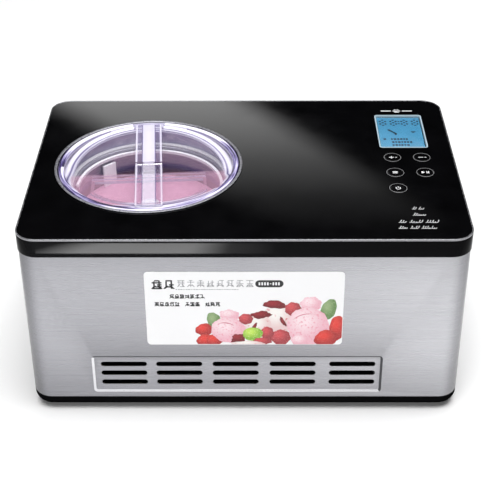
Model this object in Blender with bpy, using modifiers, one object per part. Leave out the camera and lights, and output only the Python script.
"""Countertop compressor ice cream maker, modelled as an assembly of separate pieces.

Metres, +Z up. The origin is the middle of the footprint on the surface that the feet rest on.
+X runs to the control side and +Y to the back.
"""

import math

import bmesh
import bpy
from mathutils import Matrix, Vector

# Outer body
WIDTH, DEPTH, CORNER = 0.425, 0.285, 0.021
FEET_TOP = 0.0027
BASE_BOTTOM, BASE_TOP = 0.003, 0.0162
FLOOR_TOP = 0.0055
WRAP_BOTTOM, WRAP_TOP = 0.0165, 0.1827
BAND_BOTTOM, BAND_TOP = 0.183, 0.2002
DECK_BOTTOM, DECK_TOP = 0.1965, 0.199
PANEL_BOTTOM, PANEL_TOP = 0.1993, 0.2025
GAP = 0.0003
FEET = {
    "foot_front_left": (-0.165, -0.105),
    "foot_front_right": (0.165, -0.105),
    "foot_rear_left": (-0.165, 0.105),
    "foot_rear_right": (0.165, 0.105),
}
FOOT_R = 0.011

# Front vent and label
VENT_LEFT, VENT_RIGHT, VENT_LOW, VENT_HIGH = -0.1495, 0.1345, 0.0225, 0.0672
VENT_DEPTH = 0.0015
SLOT_LENGTH, SLOT_HEIGHT = 0.0452, 0.0055
VENT_COLUMNS = [-0.1185, -0.0642, -0.0090, 0.0468, 0.1051]
VENT_ROWS = [0.0564, 0.0455, 0.0342]
LABEL_WIDTH, LABEL_HEIGHT, LABEL_Z = 0.1875, 0.085, 0.1245

# Rear panel
WINDOW_X, WINDOW_LOW, WINDOW_HIGH = 0.146, 0.034, 0.167
REAR_COLUMNS = [0.070, 0.122]
REAR_ROWS = [0.056 + 0.0135 * i for i in range(7)]
GLAND_X, GLAND_Z = -0.115, 0.046
SCREW_X, SCREW_LOW, SCREW_HIGH = 0.151, 0.0293, 0.1717

# Well, bowl and lid share one vertical axis
AXIS = (-0.097, -0.002)
PANEL_HOLE_R = 0.0931
COLLAR_LIP_R, COLLAR_WALL_R, COLLAR_IN_R, COLLAR_FLOOR_R = 0.0945, 0.0927, 0.0914, 0.0818
COLLAR_FLOOR_LOW, COLLAR_FLOOR_HIGH, COLLAR_TOP = 0.1805, 0.183, 0.2036
WELL_R, WELL_WALL, WELL_BOTTOM, WELL_TOP = 0.078, 0.0015, 0.057, 0.1802
BOWL_OUT_R, BOWL_IN_R, BOWL_BOTTOM, BOWL_FLOOR, BOWL_TOP = 0.0772, 0.076, 0.061, 0.0622, 0.182
CHIMNEY_IN_R, CHIMNEY_OUT_R, CHIMNEY_TOP = 0.0064, 0.0076, 0.096
BAIL_Z, BAIL_R_IN, BAIL_R_OUT = 0.1777, 0.0716, 0.0746
LID_TURN = math.radians(4)
LID_R, LID_BOTTOM, LID_TOP = 0.0907, 0.1833, 0.2034
RECESS_R, HOLLOW_R, VALLEY_Z, VALLEY_SLOPE, LID_PLATE = 0.085, 0.0745, 0.1925, 0.1165, 0.0025
BAR_HALF, BAR_TOP, BAR_END = 0.0135, 0.2045, 0.0027
HINGE_Z, KNUCKLE_R, HINGE_HOLE_R, HINGE_PIN_R, WEB_HALF = 0.2022, 0.0022, 0.0013, 0.0009, 0.0018
DOOR_HALF, DOOR_REAR, DOOR_ARC_Y, DOOR_ARC_R = 0.057, -0.015, -0.011, 0.069
TAB_IN, TAB_OUT, TAB_HALF, TAB_BOTTOM = 0.0862, 0.0888, 0.007, 0.1792
PADDLE_ANGLE = math.radians(131)

# Drive
MODULE, DRIVE_TEETH, IDLER_TEETH, PINION_TEETH = 0.0025, 44, 26, 10
ADDENDUM, DEDENDUM, FLANK_RELIEF, PRESSURE_ANGLE = 0.75 * MODULE, 1.15 * MODULE, 0.0003, math.radians(20)
GEAR_LOW, GEAR_HIGH = 0.034, 0.042
IDLER_X = AXIS[0] + MODULE * (DRIVE_TEETH + IDLER_TEETH) / 2
MOTOR_X = IDLER_X + MODULE * (IDLER_TEETH + PINION_TEETH) / 2
IDLER_POST_R = 0.004
BOX_LOW, BOX_FLOOR, BOX_HIGH, BOX_WALL = 0.028, 0.0305, 0.046, 0.0025
COVER_LOW, COVER_HIGH = 0.0463, 0.0488
SHAFT_R, SHAFT_ROUND_TOP, SHAFT_TOP, SHAFT_SQUARE = 0.005, 0.097, 0.110, 0.008

# Cooling circuit and controls
COIL_R, COIL_TUBE_R, COIL_LOW, COIL_HIGH, COIL_TURNS = 0.0842, 0.0025, 0.070, 0.150, 4
LEAD_R, LEAD_ANGLE = 0.100, math.radians(8)
COMPRESSOR = (0.135, -0.055)
FAN_X, FAN_Z, FAN_R = 0.118, 0.076, 0.041
DRIER = (0.028, 0.104)
LCD = (0.1637, 0.0692)
LCD_WIDTH, LCD_LENGTH = 0.050, 0.0732
KEY_R = 0.009
KEYS = {
    "key_time_up": (0.1497, 0.012),
    "key_time_down": (0.1795, 0.012),
    "key_mode": (0.1497, -0.0188),
    "key_start": (0.1795, -0.0188),
    "key_power": (0.1497, -0.0496),
}

ROUND = 32
SMALL = 12

for old in list(bpy.data.objects):
    bpy.data.objects.remove(old, do_unlink=True)
PARTS = bpy.data.collections.new("ice_cream_maker")
CUTTERS = bpy.data.collections.new("cutters")
for group in (PARTS, CUTTERS):
    bpy.context.scene.collection.children.link(group)


def material(name, colour, roughness, metallic=0.0, alpha=1.0):
    made = bpy.data.materials.new(name)
    made.use_nodes = True
    shader = made.node_tree.nodes["Principled BSDF"]
    shader.inputs["Base Color"].default_value = (*colour, 1.0)
    shader.inputs["Roughness"].default_value = roughness
    shader.inputs["Metallic"].default_value = metallic
    shader.inputs["Alpha"].default_value = alpha
    return made


STEEL = material("brushed_steel", (0.62, 0.63, 0.65), 0.3, 1.0)
BRIGHT = material("bright_trim", (0.8, 0.8, 0.82), 0.15, 1.0)
GLOSS = material("gloss_black", (0.01, 0.01, 0.012), 0.08)
MATTE = material("matte_black", (0.02, 0.02, 0.02), 0.5)
CLEAR = material("clear_plastic", (0.9, 0.88, 0.96), 0.03, 0.0, 0.35)
WHITE = material("white_plastic", (0.86, 0.86, 0.88), 0.3)
NYLON = material("gear_nylon", (0.85, 0.83, 0.76), 0.45)
RUBBER = material("rubber", (0.03, 0.03, 0.03), 0.7)
SILICONE = material("silicone", (0.8, 0.8, 0.82), 0.5)
ALUMINIUM = material("aluminium", (0.75, 0.76, 0.78), 0.35, 1.0)
COPPER = material("copper", (0.75, 0.4, 0.25), 0.3, 1.0)
FOAM = material("foam", (0.85, 0.75, 0.5), 0.9)
PAINT = material("black_enamel", (0.02, 0.02, 0.02), 0.35)
BOARD = material("circuit_board", (0.02, 0.2, 0.08), 0.5)
SCREEN = material("screen_blue", (0.1, 0.35, 0.6), 0.3)
PRINT = material("label_print", (0.9, 0.9, 0.9), 0.4)


def place(obj, finish, parent=None):
    """Puts a finished object in the parts, or in the cutters when it has no finish."""
    if finish is None:
        CUTTERS.objects.link(obj)
        obj.hide_render = True
        obj.display_type = "WIRE"
    else:
        PARTS.objects.link(obj)
        obj.data.materials.append(finish)
    obj.parent = parent
    return obj


def from_bmesh(name, mesh, finish, at=(0, 0, 0), parent=None):
    data = bpy.data.meshes.new(name)
    mesh.to_mesh(data)
    mesh.free()
    obj = bpy.data.objects.new(name, data)
    obj.location = at
    place(obj, finish, parent)
    data.shade_smooth()
    data.set_sharp_from_angle(angle=math.radians(35))
    return obj


def box(name, low, high, finish=None, parent=None, turn=None):
    """A box between two corners. turn is a matrix that then carries it into place."""
    mesh = bmesh.new()
    bmesh.ops.create_cube(mesh, size=1)
    low, high = Vector(low), Vector(high)
    bmesh.ops.scale(mesh, vec=high - low, verts=mesh.verts)
    bmesh.ops.translate(mesh, vec=(high + low) / 2, verts=mesh.verts)
    if turn is not None:
        bmesh.ops.transform(mesh, matrix=turn, verts=mesh.verts)
    return from_bmesh(name, mesh, finish, parent=parent)


def rod(name, start, end, radius, finish=None, segments=SMALL, parent=None):
    """A cylinder between two points."""
    start, end = Vector(start), Vector(end)
    mesh = bmesh.new()
    bmesh.ops.create_cone(
        mesh, cap_ends=True, segments=segments, radius1=radius, radius2=radius,
        depth=(end - start).length,
    )
    turn = Vector((0, 0, 1)).rotation_difference(end - start).to_matrix().to_4x4()
    bmesh.ops.transform(mesh, matrix=Matrix.Translation((start + end) / 2) @ turn, verts=mesh.verts)
    return from_bmesh(name, mesh, finish, parent=parent)


def disc_cutter(name, centre, radius, low, high, segments=ROUND):
    return rod(name, (*centre, low), (*centre, high), radius, segments=segments)


def turned(name, profile, finish=None, at=(0, 0, 0), segments=ROUND, parent=None, rotation=(0, 0, 0)):
    """A profile of (radius, height) points turned about its Z axis, down its outer side first."""
    data = bpy.data.meshes.new(name)
    count = len(profile)
    on_axis = profile[0][0] == 0 and profile[-1][0] == 0
    edges = [(i, i + 1) for i in range(count - 1)]
    if not on_axis:
        edges.append((count - 1, 0))
    data.from_pydata([(r, 0, z) for r, z in profile], edges, [])
    obj = bpy.data.objects.new(name, data)
    obj.location = at
    obj.rotation_euler = rotation
    place(obj, finish, parent)
    screw = obj.modifiers.new("turn", "SCREW")
    screw.steps = screw.render_steps = segments
    screw.use_merge_vertices = True
    screw.merge_threshold = 0.00001
    screw.use_smooth_shade = True
    return obj


def rounded_rect(width, depth, radius, steps=5, centre=(0, 0)):
    """The outline of a rectangle with round corners, counter-clockwise."""
    points = []
    for quarter, (sx, sy) in enumerate(((1, 1), (-1, 1), (-1, -1), (1, -1))):
        cx, cy = centre[0] + sx * (width / 2 - radius), centre[1] + sy * (depth / 2 - radius)
        for i in range(steps + 1):
            angle = math.pi / 2 * (quarter + i / steps)
            points.append((cx + radius * math.cos(angle), cy + radius * math.sin(angle)))
    return points


def lofted(name, rings, finish, closed=False):
    """A solid skinned over rings of points. A closed one joins its last ring to its first."""
    mesh = bmesh.new()
    loops = [[mesh.verts.new(point) for point in ring] for ring in rings]
    pairs = list(zip(loops, loops[1:]))
    if closed:
        pairs.append((loops[-1], loops[0]))
    else:
        mesh.faces.new(loops[0])
        mesh.faces.new(loops[-1])
    for lower, upper in pairs:
        for i in range(len(lower)):
            j = (i + 1) % len(lower)
            mesh.faces.new((lower[i], lower[j], upper[j], upper[i]))
    bmesh.ops.recalc_face_normals(mesh, faces=mesh.faces)
    return from_bmesh(name, mesh, finish)


def body_rings(levels):
    """Rings of the body's outline, each drawn in by an inset at a height."""
    rings = []
    for inset, z in levels:
        outline = rounded_rect(WIDTH - 2 * inset, DEPTH - 2 * inset, CORNER - inset)
        rings.append([(x, y, z) for x, y in outline])
    return rings


def plate(name, outlines, low, high, finish=None, turn=None, parent=None, at=(0, 0, 0)):
    """Flat outlines, the inner ones holes, filled and extruded from low to high along Z."""
    curve = bpy.data.curves.new(name, "CURVE")
    curve.dimensions = "2D"
    curve.fill_mode = "BOTH"
    curve.extrude = (high - low) / 2
    for outline in outlines:
        spline = curve.splines.new("POLY")
        spline.points.add(len(outline) - 1)
        for point, (x, y) in zip(spline.points, outline):
            point.co = (x, y, 0, 1)
        spline.use_cyclic_u = True
    sketch = bpy.data.objects.new(name + "_sketch", curve)
    bpy.context.scene.collection.objects.link(sketch)
    graph = bpy.context.evaluated_depsgraph_get()
    data = bpy.data.meshes.new_from_object(sketch.evaluated_get(graph))
    bpy.data.objects.remove(sketch)
    mesh = bmesh.new()
    mesh.from_mesh(data)
    bmesh.ops.remove_doubles(mesh, verts=mesh.verts, dist=0.00001)
    bmesh.ops.translate(mesh, vec=(0, 0, (high + low) / 2), verts=mesh.verts)
    bmesh.ops.recalc_face_normals(mesh, faces=mesh.faces)
    if turn is not None:
        bmesh.ops.transform(mesh, matrix=turn, verts=mesh.verts)
    return from_bmesh(name, mesh, finish, at=at, parent=parent)


def tube(name, points, radius, finish):
    """A round tube along the points."""
    curve = bpy.data.curves.new(name, "CURVE")
    curve.dimensions = "3D"
    curve.bevel_depth = radius
    curve.bevel_resolution = 1
    curve.use_fill_caps = True
    spline = curve.splines.new("POLY")
    spline.points.add(len(points) - 1)
    for point, co in zip(spline.points, points):
        point.co = (*co, 1)
    place(bpy.data.objects.new(name, curve), finish)


def smooth_route(points, steps=3):
    """Points along a Catmull-Rom curve through the route's own points."""
    route = [Vector(p) for p in points]
    ends = [2 * route[0] - route[1], *route, 2 * route[-1] - route[-2]]
    line = []
    for a, b, c, d in zip(ends, ends[1:], ends[2:], ends[3:]):
        for i in range(steps):
            t = i / steps
            line.append(
                0.5 * (2 * b + (c - a) * t + (2 * a - 5 * b + 4 * c - d) * t**2
                       + (3 * b - a - 3 * c + d) * t**3)
            )
    return [*line, route[-1]]


def boolean(target, tool, operation):
    change = target.modifiers.new(tool.name, "BOOLEAN")
    change.operation = operation
    change.solver = "EXACT"
    change.object = tool
    return target


def cut(target, *tools):
    for tool in tools:
        boolean(target, tool, "DIFFERENCE")
    return target


def join(target, *tools):
    for tool in tools:
        boolean(target, tool, "UNION")
    return target


def slots(name, columns, rows, low, high):
    """One cutter for a grid of round-ended slots in a wall that faces along Y."""
    half, r = SLOT_LENGTH / 2, SLOT_HEIGHT / 2
    outlines = []
    for x in columns:
        for z in rows:
            outlines.append([
                (x + half - r, z + r), (x - half + r, z + r), (x - half, z),
                (x - half + r, z - r), (x + half - r, z - r), (x + half, z),
            ])
    upright = Matrix.Rotation(math.pi / 2, 4, "X")
    return plate(name, outlines, -high, -low, turn=upright)


def base_tray():
    levels = [
        (0.012, FLOOR_TOP), (0.0042, 0.012), (0.0042, 0.0205), (0.0024, 0.0205),
        (0.0024, BASE_TOP), (0.001, BASE_TOP), (0.001, 0.0125), (0.0022, 0.0078),
        (0.0052, 0.0045), (0.010, BASE_BOTTOM),
    ]
    tray = lofted("base_tray", body_rings(levels), MATTE)
    wall = box("board_wall", (0.2035, 0.005, 0.0048), (0.2055, 0.100, 0.168))
    join(tray, wall)
    for i, (x, y) in enumerate(FEET.values()):
        cut(tray, disc_cutter(f"foot_hole_{i}", (x, y), 0.0034, 0.001, 0.008, 8))


def feet():
    stem_r, stem_top = 0.003, 0.0075
    profile = [
        (0, stem_top), (stem_r, stem_top), (stem_r, FEET_TOP), (FOOT_R, FEET_TOP),
        (FOOT_R - 0.0008, 0), (0, 0),
    ]
    for name, (x, y) in FEET.items():
        turned(name, profile, RUBBER, (x, y, 0), 10)


def body_wrap():
    levels = [(0.001, WRAP_BOTTOM), (0.001, WRAP_TOP), (0.002, WRAP_TOP), (0.002, WRAP_BOTTOM)]
    wrap = lofted("body_wrap", body_rings(levels), STEEL, closed=True)
    face = -DEPTH / 2 + 0.001
    margin = 0.0015
    pan = box(
        "vent_pan", (VENT_LEFT - margin, face + 0.0005, VENT_LOW - margin),
        (VENT_RIGHT + margin, face + 0.003, VENT_HIGH + margin),
    )
    hollow = box(
        "vent_hollow", (VENT_LEFT, face - 0.001, VENT_LOW), (VENT_RIGHT, face + VENT_DEPTH, VENT_HIGH)
    )
    join(wrap, pan)
    cut(wrap, hollow, slots("vent_slots", VENT_COLUMNS, VENT_ROWS, face - 0.002, face + 0.006))
    window = box(
        "rear_window", (-WINDOW_X, DEPTH / 2 - 0.006, WINDOW_LOW), (WINDOW_X, DEPTH / 2 + 0.002, WINDOW_HIGH)
    )
    cut(wrap, window, *screw_holes("wrap_hole"))


def screw_places():
    return [(sx * SCREW_X, z) for sx in (-1, 1) for z in (SCREW_LOW, SCREW_HIGH)]


def screw_holes(name):
    """Cutters for the four holes of the rear panel's screws."""
    back = DEPTH / 2
    return [
        rod(f"{name}_{i}", (x, back - 0.010, z), (x, back + 0.002, z), 0.0019, segments=8)
        for i, (x, z) in enumerate(screw_places())
    ]


def rear_panel():
    outer = DEPTH / 2 - 0.0023
    panel = box("rear_panel", (-0.156, outer - 0.0012, 0.0246), (0.156, outer, 0.1764), STEEL)
    grille = slots("rear_slots", REAR_COLUMNS, REAR_ROWS, outer - 0.004, outer + 0.003)
    hole = rod(
        "gland_hole", (GLAND_X, outer - 0.004, GLAND_Z), (GLAND_X, outer + 0.003, GLAND_Z), 0.0076,
        segments=16,
    )
    cut(panel, grille, hole, *screw_holes("panel_hole"))
    gland = [
        (0.0095, 0.0021), (0.0095, 0.0003), (0.0072, 0.0003), (0.0072, -0.0015),
        (0.0090, -0.0015), (0.0090, -0.0045), (0.0045, -0.0045), (0.0045, 0.0021),
    ]
    turned("cord_gland", gland, RUBBER, (GLAND_X, outer, GLAND_Z), 16, rotation=(-math.pi / 2, 0, 0))
    head_r, shank_r, shank_end = 0.003, 0.0015, -0.0055
    screw = [
        (0, 0.001), (head_r, 0.001), (head_r, GAP), (shank_r, GAP), (shank_r, shank_end), (0, shank_end),
    ]
    for i, (x, z) in enumerate(screw_places(), 1):
        at = (x, DEPTH / 2 - 0.001, z)
        turned(f"rear_screw_{i}", screw, BRIGHT, at, 8, rotation=(-math.pi / 2, 0, 0))


def top_frame():
    levels = [
        (0.0015, DECK_TOP), (0.0015, BAND_TOP), (0, BAND_TOP), (0, BAND_BOTTOM), (0.0024, BAND_BOTTOM),
        (0.0024, 0.177), (0.0042, 0.177), (0.0042, DECK_BOTTOM),
    ]
    frame = lofted("top_frame", body_rings(levels), GLOSS)
    for i, x in enumerate((0.127, 0.1995)):
        for j, y in enumerate((-0.063, 0.113)):
            join(frame, disc_cutter(f"boss_{i}{j}", (x, y), 0.003, 0.1879, DECK_BOTTOM + 0.001, 8))
    hole = disc_cutter("deck_hole", AXIS, PANEL_HOLE_R, 0.19, 0.21)
    window = box("deck_window", (0.134, -0.0605, 0.19), (0.1945, 0.1105, 0.21))
    cut(frame, hole, window)
    trim = [(0, BAND_TOP + GAP), (0, PANEL_TOP), (0.0015, PANEL_TOP), (0.0015, BAND_TOP + GAP)]
    lofted("top_trim", body_rings(trim), BRIGHT, closed=True)


def top_panel():
    panel = lofted("top_panel", body_rings([(0.0018, PANEL_BOTTOM), (0.0018, PANEL_TOP)]), GLOSS)
    hole = disc_cutter("panel_hole", AXIS, PANEL_HOLE_R, 0.19, 0.21)
    aperture = plate(
        "lcd_aperture", [rounded_rect(LCD_WIDTH + 2 * GAP, LCD_LENGTH + 2 * GAP, 0.0033, 2, LCD)], 0.19, 0.21
    )
    cut(panel, hole, aperture)
    for name, place_at in KEYS.items():
        cut(panel, disc_cutter(name + "_hole", place_at, KEY_R + 0.0004, 0.19, 0.21, SMALL))


def controls():
    outer = rounded_rect(LCD_WIDTH, LCD_LENGTH, 0.003, 2, LCD)
    inner = rounded_rect(LCD_WIDTH - 0.003, LCD_LENGTH - 0.003, 0.0018, 2, LCD)
    lens = rounded_rect(LCD_WIDTH - 0.0036, LCD_LENGTH - 0.0036, 0.0015, 2, LCD)
    plate("lcd_bezel", [outer, inner], 0.1996, PANEL_TOP + GAP, BRIGHT)
    plate("lcd_window", [lens], 0.2003, PANEL_TOP, CLEAR)
    half = Vector((0.0228, 0.0343, 0))
    centre = Vector((*LCD, 0))
    box("lcd_module", centre - half + Vector((0, 0, 0.1879)), centre + half + Vector((0, 0, 0.2)), SCREEN)
    board = box("control_board", (0.122, -0.068, 0.186), (0.2045, 0.118, 0.1876), BOARD)
    cap = [
        (0, 0.0007), (KEY_R, 0.0007), (KEY_R, -0.003), (KEY_R + 0.0013, -0.003), (KEY_R + 0.0013, -0.004),
        (0.0025, -0.004), (0.0025, -0.0099), (0, -0.0099),
    ]
    for name, (x, y) in KEYS.items():
        turned(name, cap, GLOSS, (x, y, 0.202), SMALL)
        join(board, box(name + "_switch", (x - 0.003, y - 0.003, 0.1870), (x + 0.003, y + 0.003, 0.1915)))


def front_label():
    outline = rounded_rect(LABEL_WIDTH, LABEL_HEIGHT, 0.004, 3, (0, LABEL_Z))
    face = DEPTH / 2 - 0.001
    upright = Matrix.Rotation(math.pi / 2, 4, "X")
    plate("front_label", [outline], face + GAP, face + GAP + 0.0004, PRINT, turn=upright)


def sector(r_in, r_out, start, end, steps, centre=(0, 0)):
    """The outline of a part of a ring between two angles in radians."""
    outline = []
    for i in range(steps + 1):
        angle = start + (end - start) * i / steps
        outline.append((centre[0] + r_out * math.cos(angle), centre[1] + r_out * math.sin(angle)))
    for i in range(steps, -1, -1):
        angle = start + (end - start) * i / steps
        outline.append((centre[0] + r_in * math.cos(angle), centre[1] + r_in * math.sin(angle)))
    return outline


def lid_collar():
    profile = [
        (COLLAR_LIP_R, COLLAR_TOP), (COLLAR_LIP_R, PANEL_TOP + GAP), (COLLAR_WALL_R, PANEL_TOP + GAP),
        (COLLAR_WALL_R, COLLAR_FLOOR_LOW), (COLLAR_FLOOR_R, COLLAR_FLOOR_LOW),
        (COLLAR_FLOOR_R, COLLAR_FLOOR_HIGH), (COLLAR_IN_R, COLLAR_FLOOR_HIGH), (COLLAR_IN_R, COLLAR_TOP),
    ]
    collar = turned("lid_collar", profile, BRIGHT, (*AXIS, 0))
    for i in range(3):
        start = math.radians(84 + 120 * i)
        outline = sector(TAB_IN - 0.001, TAB_OUT + 0.001, start, start + math.radians(36), 5, AXIS)
        cut(collar, plate(f"tab_slot_{i}", [outline], 0.178, 0.186))


def cooling_well():
    out, flange_r, bore_r = WELL_R + WELL_WALL, 0.0845, 0.009
    profile = [
        (flange_r, WELL_TOP), (flange_r, WELL_TOP - WELL_WALL), (out, WELL_TOP - WELL_WALL),
        (out, WELL_BOTTOM), (bore_r, WELL_BOTTOM), (bore_r, WELL_BOTTOM + WELL_WALL),
        (WELL_R, WELL_BOTTOM + WELL_WALL), (WELL_R, WELL_TOP),
    ]
    turned("cooling_well", profile, ALUMINIUM, (*AXIS, 0))
    foam_in, foam_out, foam_low, foam_high = 0.0871, 0.093, 0.050, 0.1782
    shell = [
        (foam_out, foam_high), (foam_out, foam_low), (bore_r + 0.001, foam_low),
        (bore_r + 0.001, WELL_BOTTOM - GAP), (foam_in, WELL_BOTTOM - GAP), (foam_in, foam_high),
    ]
    foam = turned("insulation_foam", shell, FOAM, (*AXIS, 0))
    x, y = AXIS
    cut(foam, box("lead_notch", (x + 0.078, y - 0.020, 0.060), (x + 0.097, y + 0.020, 0.172)))


def on_axis(radius, angle, z):
    return (AXIS[0] + radius * math.cos(angle), AXIS[1] + radius * math.sin(angle), z)


def evaporator_coil():
    """Turns round the well, with both ends bent out through the notch in the foam."""
    per_turn = 16
    lead = [
        (LEAD_R, -LEAD_ANGLE), (0.090, -LEAD_ANGLE), (0.0866, -0.75 * LEAD_ANGLE),
        (0.0848, -0.35 * LEAD_ANGLE),
    ]
    points = [on_axis(r, a, COIL_LOW) for r, a in lead]
    count = per_turn * COIL_TURNS
    for i in range(1, count):
        angle = 2 * math.pi * i / per_turn
        points.append(on_axis(COIL_R, angle, COIL_LOW + (COIL_HIGH - COIL_LOW) * i / count))
    points += [on_axis(r, -a, COIL_HIGH) for r, a in reversed(lead)]
    tube("evaporator_coil", points, COIL_TUBE_R, COPPER)


def gear_outline(teeth, phase=0.0):
    """A spur gear's outline with straight flanks, each cut back for running clearance."""
    pitch_r = MODULE * teeth / 2
    tip_r, root_r = pitch_r + ADDENDUM, pitch_r - DEDENDUM
    half = math.pi * MODULE / 4 - FLANK_RELIEF
    slope = math.tan(PRESSURE_ANGLE)
    outline = []
    for i in range(teeth):
        middle = phase + 2 * math.pi * i / teeth
        for r, side in ((root_r, -1), (tip_r, -1), (tip_r, 1), (root_r, 1)):
            angle = middle + side * (half - (r - pitch_r) * slope) / r
            outline.append((r * math.cos(angle), r * math.sin(angle)))
    return outline


def circle(radius, steps=SMALL):
    return [
        (radius * math.cos(2 * math.pi * i / steps), radius * math.sin(2 * math.pi * i / steps))
        for i in range(steps)
    ]


def egg(r_left, r_right, steps=14):
    """The outline of a belt round two circles, at the drive axis and at the motor's axis."""
    span = MOTOR_X - AXIS[0]
    lean = math.acos((r_left - r_right) / span)
    points = []
    for i in range(steps + 1):
        angle = lean + (2 * math.pi - 2 * lean) * i / steps
        points.append((AXIS[0] + r_left * math.cos(angle), AXIS[1] + r_left * math.sin(angle)))
    for i in range(steps + 1):
        angle = -lean + 2 * lean * i / steps
        points.append((MOTOR_X + r_right * math.cos(angle), AXIS[1] + r_right * math.sin(angle)))
    return points


def gearbox():
    wide, narrow = 0.060, 0.033
    inner, outer = egg(wide, narrow), egg(wide + BOX_WALL, narrow + BOX_WALL)
    levels = [(inner, BOX_FLOOR), (inner, BOX_HIGH), (outer, BOX_HIGH), (outer, BOX_LOW)]
    housing = lofted("gearbox_housing", [[(x, y, z) for x, y in ring] for ring, z in levels], MATTE)
    y = AXIS[1]
    legs = [(AXIS[0] - 0.045, y - 0.03), (AXIS[0] - 0.045, y + 0.03), (0.02, y - 0.028), (0.02, y + 0.028)]
    for i, place_at in enumerate(legs):
        join(housing, disc_cutter(f"gearbox_leg_{i}", place_at, 0.005, FLOOR_TOP + GAP, BOX_LOW + 0.001, 8))
    join(housing, disc_cutter("shaft_boss", AXIS, 0.009, 0.022, BOX_LOW + 0.001, SMALL))
    join(housing, disc_cutter("idler_post", (IDLER_X, y), IDLER_POST_R, BOX_FLOOR - 0.001, BOX_HIGH, SMALL))
    cut(housing, disc_cutter("bushing_bore", AXIS, 0.0069, 0.0245, 0.032, 16))
    cover = plate("gearbox_cover", [outer], COVER_LOW, COVER_HIGH, MATTE)
    join(cover, disc_cutter("bearing_sleeve", AXIS, 0.009, COVER_LOW + 0.001, 0.0535, 16))
    cut(cover, disc_cutter("sleeve_bore", AXIS, 0.0054, 0.04, 0.06, 16))
    cut(cover, disc_cutter("pinion_bore", (MOTOR_X, y), 0.006, 0.04, 0.06, SMALL))
    bushing = [(0.0066, 0.033), (0.0066, 0.0248), (0.0054, 0.0248), (0.0054, 0.033)]
    turned("shaft_bushing", bushing, ALUMINIUM, (*AXIS, 0), 16)


def gear_train():
    y = AXIS[1]
    drive = [gear_outline(DRIVE_TEETH), circle(SHAFT_R + GAP, 16)]
    plate("drive_gear", drive, GEAR_LOW, GEAR_HIGH, NYLON, at=(*AXIS, 0))
    half_tooth = math.pi / IDLER_TEETH
    plate(
        "idler_gear", [gear_outline(IDLER_TEETH, math.pi + half_tooth), circle(IDLER_POST_R + 0.0004)],
        GEAR_LOW, GEAR_HIGH, NYLON, at=(IDLER_X, y, 0),
    )
    pinion = [gear_outline(PINION_TEETH)]
    pinion = plate("motor_pinion", pinion, GEAR_LOW, GEAR_HIGH, BRIGHT, at=(MOTOR_X, y, 0))
    join(pinion, disc_cutter("pinion_shaft", (MOTOR_X, y), 0.004, 0.031, 0.068, SMALL))
    motor = [
        (0, 0.098), (0.012, 0.098), (0.012, 0.094), (0.029, 0.090), (0.029, COVER_HIGH + GAP),
        (0.0046, COVER_HIGH + GAP), (0.0046, 0.070), (0, 0.070),
    ]
    turned("mixing_motor", motor, PAINT, (MOTOR_X, y, 0), 20)
    shaft = [(0, SHAFT_ROUND_TOP), (SHAFT_R, SHAFT_ROUND_TOP), (SHAFT_R, 0.025), (0, 0.025)]
    shaft = turned("drive_shaft", shaft, BRIGHT, (*AXIS, 0), 16)
    x, half = AXIS[0], SHAFT_SQUARE / 2
    join(shaft, box("shaft_square", (x - half, y - half, 0.0965), (x + half, y + half, SHAFT_TOP)))
    seal = [
        (0.011, 0.0603), (0.011, 0.0588), (0.0087, 0.0588), (0.0087, 0.054), (0.0054, 0.054),
        (0.0054, 0.0603),
    ]
    turned("shaft_seal", seal, RUBBER, (*AXIS, 0), 16)


def bowl():
    profile = [
        (0.0814, BOWL_TOP), (0.0814, BOWL_TOP - 0.0015), (BOWL_OUT_R, BOWL_TOP - 0.0015),
        (BOWL_OUT_R, BOWL_BOTTOM), (CHIMNEY_IN_R, BOWL_BOTTOM), (CHIMNEY_IN_R, CHIMNEY_TOP),
        (CHIMNEY_OUT_R, CHIMNEY_TOP), (CHIMNEY_OUT_R, BOWL_FLOOR), (BOWL_IN_R, BOWL_FLOOR),
        (BOWL_IN_R, BOWL_TOP),
    ]
    made = turned("bowl", profile, ALUMINIUM, (*AXIS, 0))
    x, y = AXIS
    for side in (-1, 1):
        start = (x + side * 0.0708, y, BAIL_Z)
        join(made, rod(f"bail_stud_{side}", start, (x + side * 0.0766, y, BAIL_Z), 0.0017, segments=8))
    outline = sector(BAIL_R_IN, BAIL_R_OUT, 0, math.pi, 16)
    handle = plate("bowl_handle", [outline], -0.0015, 0.0015, WHITE, at=(x, y, BAIL_Z))
    for side in (-1, 1):
        ends = [(x + side * r, y, BAIL_Z) for r in (BAIL_R_IN, BAIL_R_OUT)]
        join(handle, rod(f"bail_eye_{side}", *ends, 0.0038, segments=10))
        through = [(x + side * r, y, BAIL_Z) for r in (BAIL_R_IN - 0.002, BAIL_R_OUT + 0.002)]
        cut(handle, rod(f"bail_hole_{side}", *through, 0.0021, segments=8))


def paddle():
    """A hub over the shaft, with a tall and a short scraper blade on crossed arms."""
    hub = [
        (0, 0.158), (0.009, 0.158), (0.0115, 0.150), (0.013, 0.0634), (0.0084, 0.0634), (0.0084, 0.0975),
        (0, 0.0975),
    ]
    made = turned("paddle", hub, WHITE, (*AXIS, 0), 16)
    for angle, top, brace in ((PADDLE_ANGLE, 0.1725, 0.128), (PADDLE_ANGLE + math.pi, 0.122, 0.104)):
        turn = Matrix.Translation((*AXIS, 0)) @ Matrix.Rotation(angle, 4, "Z")
        join(
            made,
            box("arm", (0.010, -0.0025, 0.0634), (0.0725, 0.0025, 0.072), turn=turn),
            box("brace", (0.008, -0.002, brace), (0.0715, 0.002, brace + 0.008), turn=turn),
            box("blade", (0.0708, -0.008, 0.0634), (0.0738, 0.008, top), turn=turn),
        )
    half = SHAFT_SQUARE / 2 + 0.0004
    x, y = AXIS
    cut(made, box("square_socket", (x - half, y - half, 0.090), (x + half, y + half, 0.1115)))


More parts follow.
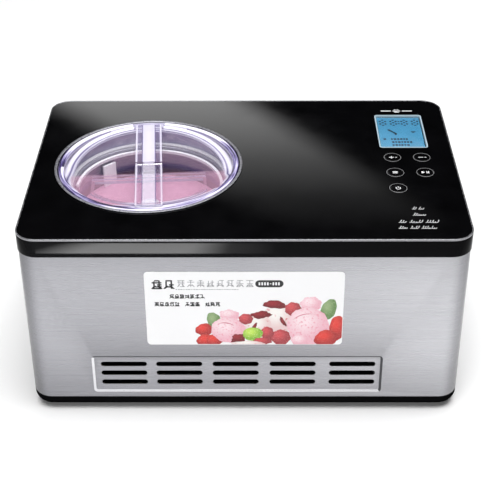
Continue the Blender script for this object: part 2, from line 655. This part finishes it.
def valley(y, lift=0.0):
    """The height of the lid's V-shaped floor at a distance from the valley line."""
    return VALLEY_Z + abs(y) * VALLEY_SLOPE + lift


def along_x(name, outline, half, finish=None, parent=None):
    """An outline of (y, z) points extruded along X."""
    upright = Matrix(((0, 0, 1, 0), (1, 0, 0, 0), (0, 1, 0, 0), (0, 0, 0, 1)))
    return plate(name, [outline], -half, half, finish, turn=upright, parent=parent)


def door_outline(half, rear, arc_y, arc_r, steps=8):
    """The refill door's outline: a straight hinge edge, short sides and a round front."""
    reach = math.asin(half / arc_r)
    points = [(half, rear), (-half, rear)]
    for i in range(steps + 1):
        angle = -math.pi / 2 - reach + 2 * reach * i / steps
        points.append((arc_r * math.cos(angle), arc_y + arc_r * math.sin(angle)))
    return points


def round_prism(name, outline, half, radius, pivot):
    """A cutter: an outline extruded along X, and what a cylinder about the lid's axis keeps of it."""
    prism = along_x(name + "_prism", outline, half, parent=pivot)
    keep = rod(name + "_round", (0, 0, 0.17), (0, 0, 0.22), radius, segments=ROUND, parent=pivot)
    return boolean(prism, keep, "INTERSECT")


def lid():
    pivot = bpy.data.objects.new("lid_pivot", None)
    PARTS.objects.link(pivot)
    pivot.location = (*AXIS, 0)
    pivot.rotation_euler = (0, 0, LID_TURN)
    wide, far, sky = 0.090, 0.1, 0.212
    profile = [
        (0, LID_TOP), (LID_R - 0.001, LID_TOP), (LID_R, LID_TOP - 0.001), (LID_R, LID_BOTTOM),
        (0.0815, LID_BOTTOM), (0.0815, 0.1846), (0, 0.1846),
    ]
    made = turned("lid", profile, CLEAR, parent=pivot)
    over = [(-wide, valley(wide)), (0, valley(0)), (wide, valley(wide)), (wide, sky), (-wide, sky)]
    recess = round_prism("recess", over, far, RECESS_R, pivot)
    below, edge = 0.176, valley(wide, -LID_PLATE)
    under = [(-wide, edge), (-wide, below), (wide, below), (wide, edge), (0, valley(0, -LID_PLATE))]
    hollow = round_prism("hollow", under, far, HOLLOW_R, pivot)
    cut(made, recess, hollow)
    tilt = Matrix.Translation((0, 0, VALLEY_Z)) @ Matrix.Rotation(-math.atan(VALLEY_SLOPE), 4, "X")
    strip = box(
        "hinge_strip", (-DOOR_HALF, -0.0145, -0.001), (DOOR_HALF, -0.006, 0.0016), parent=pivot, turn=tilt
    )
    rear_bar = box(
        "rear_bar", (-BAR_HALF, BAR_END, valley(0) - 0.001), (BAR_HALF, 0.087, BAR_TOP), parent=pivot
    )
    channel = box("bar_channel", (-0.007, 0.008, 0.182), (0.007, 0.074, 0.2015), parent=pivot)
    opening = plate(
        "door_opening", [door_outline(0.0545, -0.0178, -0.0095, 0.0645)], -0.012, 0.008,
        turn=tilt, parent=pivot,
    )
    join(made, strip, rear_bar)
    for i in range(3):
        turn = Matrix.Rotation(math.radians(90 + 120 * i), 4, "Z")
        low, high = (TAB_IN, -TAB_HALF, TAB_BOTTOM), (TAB_OUT, TAB_HALF, LID_BOTTOM + 0.0017)
        join(made, box(f"lid_tab_{i}", low, high, parent=pivot, turn=turn))
    cut(made, channel, opening)
    door(pivot, tilt)
    knuckles(pivot, made)
    rod("door_hinge_pin", (-BAR_HALF, 0, HINGE_Z), (BAR_HALF, 0, HINGE_Z), HINGE_PIN_R, BRIGHT, 8, pivot)
    seal = [(0.081, 0.1843), (0.081, 0.1823), (0.0772, 0.1823), (0.0772, 0.1843)]
    turned("lid_seal", seal, SILICONE, (*AXIS, 0))


def door(pivot, tilt):
    """The front half of the V floor and of the handle bar, which swing up together."""
    flange = plate(
        "refill_door", [door_outline(DOOR_HALF, DOOR_REAR, DOOR_ARC_Y, DOOR_ARC_R)], GAP, 0.0019, CLEAR,
        turn=tilt, parent=pivot,
    )
    plug = plate(
        "door_plug", [door_outline(0.0539, -0.0184, -0.0095, 0.0639)], -0.0025, 0.001,
        turn=tilt, parent=pivot,
    )
    side = [
        (-0.0825, BAR_TOP), (-0.0825, valley(0.0825, 0.0006)), (-0.0152, valley(0.0152, 0.0006)),
        (-0.0152, 0.1968), (-BAR_END, 0.1968), (-BAR_END, BAR_TOP),
    ]
    join(flange, plug, along_x("front_bar", side, BAR_HALF, parent=pivot))
    centre = rod(
        "knuckle_mid", (-0.005, 0, HINGE_Z), (0.005, 0, HINGE_Z), KNUCKLE_R, segments=10, parent=pivot
    )
    web = box(
        "knuckle_mid_web", (-0.005, -BAR_END - 0.001, HINGE_Z - WEB_HALF), (0.005, 0, HINGE_Z + WEB_HALF),
        parent=pivot,
    )
    join(flange, centre, web)
    cut(flange, hinge_bore("door_bore", pivot))


def knuckles(pivot, made):
    """The lid's two outer hinge knuckles, either side of the door's middle one."""
    for side in (-1, 1):
        near, end = side * 0.0054, side * BAR_HALF
        barrel = rod(
            f"knuckle_{side}", (near, 0, HINGE_Z), (end, 0, HINGE_Z), KNUCKLE_R, segments=10, parent=pivot
        )
        low, high = sorted((near, end))
        web = box(
            f"knuckle_web_{side}", (low, 0, HINGE_Z - WEB_HALF), (high, BAR_END + 0.001, HINGE_Z + WEB_HALF),
            parent=pivot,
        )
        join(made, barrel, web)
    cut(made, hinge_bore("lid_bore", pivot))


def hinge_bore(name, pivot):
    return rod(name, (-0.015, 0, HINGE_Z), (0.015, 0, HINGE_Z), HINGE_HOLE_R, segments=8, parent=pivot)


def compressor():
    x, y = COMPRESSOR
    pot = [
        (0, 0.140), (0.030, 0.140), (0.046, 0.133), (0.055, 0.118), (0.055, 0.045), (0.047, 0.024),
        (0.034, 0.0143), (0, 0.0143),
    ]
    turned("compressor", pot, PAINT, (x, y, 0), 24)
    corners = [(x - 0.050, y - 0.045), (x + 0.050, y - 0.045), (x, y + 0.045)]
    outline = []
    for i, (cx, cy) in enumerate(corners):
        for j in range(4):
            angle = math.radians(150 + 120 * i + 40 * j)
            outline.append((cx + 0.013 * math.cos(angle), cy + 0.013 * math.sin(angle)))
    base = plate("compressor_plate", [outline], 0.012, 0.014, PAINT)
    rubber = [
        (0, 0.016), (0.007, 0.016), (0.007, 0.0143), (0.0046, 0.0143), (0.0046, 0.0117), (0.008, 0.0117),
        (0.008, FLOOR_TOP + GAP), (0, FLOOR_TOP + GAP),
    ]
    for i, place_at in enumerate(corners, 1):
        cut(base, disc_cutter(f"grommet_hole_{i}", place_at, 0.005, 0.010, 0.016, 8))
        turned(f"compressor_grommet_{i}", rubber, RUBBER, (*place_at, 0), 8)


def condenser():
    core = box("condenser", (0.052, 0.0975, 0.022), (0.184, 0.122, 0.132), ALUMINIUM)
    for i, x in enumerate((0.054, 0.176)):
        join(core, box(f"condenser_foot_{i}", (x, 0.100, FLOOR_TOP + GAP), (x + 0.006, 0.120, 0.023)))
    for i in range(9):
        z = 0.030 + 0.0115 * i
        cut(core, box(f"fin_gap_{i}", (0.060, 0.090, z), (0.164, 0.1125, z + 0.005)))
    x, y = DRIER
    body = [
        (0, 0.114), (0.003, 0.114), (0.003, 0.109), (0.008, 0.103), (0.008, 0.047), (0.003, 0.041),
        (0.003, 0.030), (0, 0.030),
    ]
    drier = turned("filter_drier", body, COPPER, (x, y, 0), SMALL)
    join(drier, rod("drier_inlet", (x, y, 0.033), (0.052 - GAP, y, 0.033), 0.0026, segments=8))


def fan():
    outline = [(0.062, FLOOR_TOP + GAP), (0.174, FLOOR_TOP + GAP), (0.174, 0.132), (0.062, 0.132)]
    ring = [(FAN_X + px, FAN_Z + pz) for px, pz in circle(0.045, 24)]
    upright = Matrix.Rotation(math.pi / 2, 4, "X")
    bracket = plate("fan_bracket", [outline, ring], -0.0945, -0.092, PAINT, turn=upright)
    low, high = FAN_Z - 0.004, FAN_Z + 0.004
    for i, (post, near) in enumerate(((0.066, 0.1027), (0.170, 0.1333))):
        inner = post + math.copysign(0.005, near - post)
        xs, beam = sorted((post, inner)), sorted((post, near))
        join(
            bracket,
            box(f"fan_post_{i}", (xs[0], 0.066, low), (xs[1], 0.0925, high)),
            box(f"fan_beam_{i}", (beam[0], 0.066, low), (beam[1], 0.069, high)),
        )
    back = (-math.pi / 2, 0, 0)
    can = [(0, 0.018), (0.015, 0.018), (0.015, 0), (0, 0)]
    motor = turned("fan_motor", can, PAINT, (FAN_X, 0.062, FAN_Z), 16, rotation=back)
    cut(motor, rod("fan_bore", (FAN_X, 0.072, FAN_Z), (FAN_X, 0.082, FAN_Z), 0.0032, segments=10))
    hub = turned(
        "fan_blades",
        [(0, 0.0155), (0.013, 0.0155), (0.013, 0.0065), (0.0025, 0.0065), (0.0025, 0), (0, 0)],
        MATTE, (FAN_X, 0.0745, FAN_Z), 15, rotation=back,
    )
    for i in range(5):
        around = Matrix.Rotation(2 * math.pi * i / 5, 4, "Y")
        pitch = Matrix.Rotation(math.radians(62), 4, "Z")
        turn = Matrix.Translation((FAN_X, 0.0855, FAN_Z)) @ around @ pitch
        join(hub, box(f"blade_{i}", (-0.0006, -0.010, 0.010), (0.0006, 0.010, FAN_R), turn=turn))


def pipes():
    """The suction, discharge and capillary tubes between the sealed circuit's pieces."""
    x, y, _ = on_axis(LEAD_R + GAP, LEAD_ANGLE, 0)
    suction = [
        (x, y, COIL_HIGH), (0.012, 0.0134, 0.1505), (0.032, 0.011, 0.154), (0.062, -0.002, 0.160),
        (0.095, -0.028, 0.162), (0.113, -0.041, 0.156), (0.118, -0.045, 0.148), (0.118, -0.045, 0.1404),
    ]
    tube("suction_tube", smooth_route(suction, 2), 0.003, COPPER)
    discharge = [
        (0.145, -0.065, 0.1404), (0.145, -0.064, 0.151), (0.148, -0.050, 0.161), (0.155, 0.0, 0.165),
        (0.162, 0.060, 0.165), (0.168, 0.100, 0.159), (0.170, 0.110, 0.146), (0.170, 0.110, 0.1324),
    ]
    tube("discharge_tube", smooth_route(discharge, 2), 0.0025, COPPER)
    x, y, _ = on_axis(LEAD_R + GAP, -LEAD_ANGLE, 0)
    capillary = [
        (*DRIER, 0.1144), (0.028, 0.104, 0.122), (0.023, 0.097, 0.127), (0.012, 0.080, 0.123),
        (0.004, 0.055, 0.110), (0.002, 0.025, 0.096), (0.003, 0.002, 0.086), (0.005, -0.011, 0.077),
        (0.0057, -0.0163, 0.0725), (0.0045, -0.0163, 0.0703), (x, y, COIL_LOW),
    ]
    tube("capillary_tube", smooth_route(capillary, 2), 0.001, COPPER)


def power_board():
    board = box("power_board", (0.2012, 0.010, 0.045), (0.2028, 0.095, 0.150), BOARD)
    lumps = [
        ((0.186, 0.018, 0.058), (0.2016, 0.048, 0.090)),
        ((0.190, 0.060, 0.060), (0.2016, 0.080, 0.085)),
        ((0.192, 0.030, 0.110), (0.2016, 0.070, 0.135)),
    ]
    for i, (low, high) in enumerate(lumps):
        join(board, box(f"component_{i}", low, high))


base_tray()
feet()
body_wrap()
rear_panel()
top_frame()
top_panel()
controls()
front_label()
lid_collar()
cooling_well()
evaporator_coil()
gearbox()
gear_train()
bowl()
paddle()
lid()
compressor()
condenser()
fan()
pipes()
power_board()
